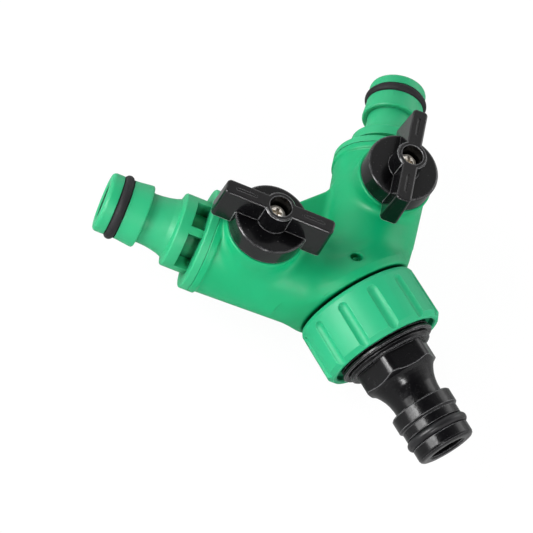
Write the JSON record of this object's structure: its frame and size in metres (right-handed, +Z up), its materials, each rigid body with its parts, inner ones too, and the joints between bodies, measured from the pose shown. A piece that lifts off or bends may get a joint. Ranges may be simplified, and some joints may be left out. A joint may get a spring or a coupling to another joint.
{
  "type": "hose splitter",
  "caption": "Garden hose splitter: Y-shaped green body, a ball valve with winged black handle in each outlet arm, quick-connect spigots, swivel nut and black inlet adapter.",
  "frame": {"origin": "on the inlet axis, in the middle of the inlet spigot's tip land", "axes": "+Z up along the valve stems, -Y out of the inlet, the outlets leave towards +Y at 44 degrees to each side in the XY plane"},
  "size_m": [0.1102, 0.1029, 0.0443],
  "materials": {
    "green_plastic": "satin moulded polypropylene",
    "nut_plastic": "satin moulded polypropylene",
    "handle_plastic": "gloss black moulded",
    "adapter_plastic": "semi-gloss black moulded",
    "seal_rubber": "matte black rubber",
    "seat_plastic": "white low-friction plastic",
    "ball_plastic": "polished white plastic",
    "stem_plastic": "natural acetal",
    "screw_steel": "bright nickel plate"
  },
  "bodies": {
    "body": {"y_body": "green_plastic", "inlet_washer": "seal_rubber", "left_outlet": "green_plastic", "left_outlet_oring": "seal_rubber", "left_inner_seat": "seat_plastic", "left_outer_seat": "seat_plastic", "right_outlet": "green_plastic", "right_outlet_oring": "seal_rubber", "right_inner_seat": "seat_plastic", "right_outer_seat": "seat_plastic"},
    "left_valve": {"left_handle": "handle_plastic", "left_handle_screw": "screw_steel", "left_stem": "stem_plastic", "left_stem_oring": "seal_rubber", "left_ball": "ball_plastic"},
    "right_valve": {"right_handle": "handle_plastic", "right_handle_screw": "screw_steel", "right_stem": "stem_plastic", "right_stem_oring": "seal_rubber", "right_ball": "ball_plastic"},
    "nut": {"swivel_nut": "nut_plastic"},
    "adapter": {"inlet_adapter": "adapter_plastic", "adapter_oring": "seal_rubber"}
  },
  "joints": [
    {"name": "left_valve_turn", "type": "hinge", "parent": "body", "child": "left_valve", "pos_m": [-0.02164, 0.06641, 0], "axis": [0, 0, 1], "range_deg": [0, 90]},
    {"name": "right_valve_turn", "type": "hinge", "parent": "body", "child": "right_valve", "pos_m": [0.02164, 0.06641, 0], "axis": [0, 0, 1], "range_deg": [-90, 0]},
    {"name": "nut_turn", "type": "hinge", "parent": "body", "child": "nut", "pos_m": [0, 0.036, 0], "axis": [0, 1, 0], "range_deg": [0, 810]},
    {"name": "adapter_slide", "type": "slide", "parent": "body", "child": "adapter", "axis": [0, -1, 0], "range_m": [0, 0.0041]}
  ],
  "couplings": [
    {"joint": "adapter_slide", "follows": "nut_turn", "m_per_rad": 0.00028871}
  ]
}
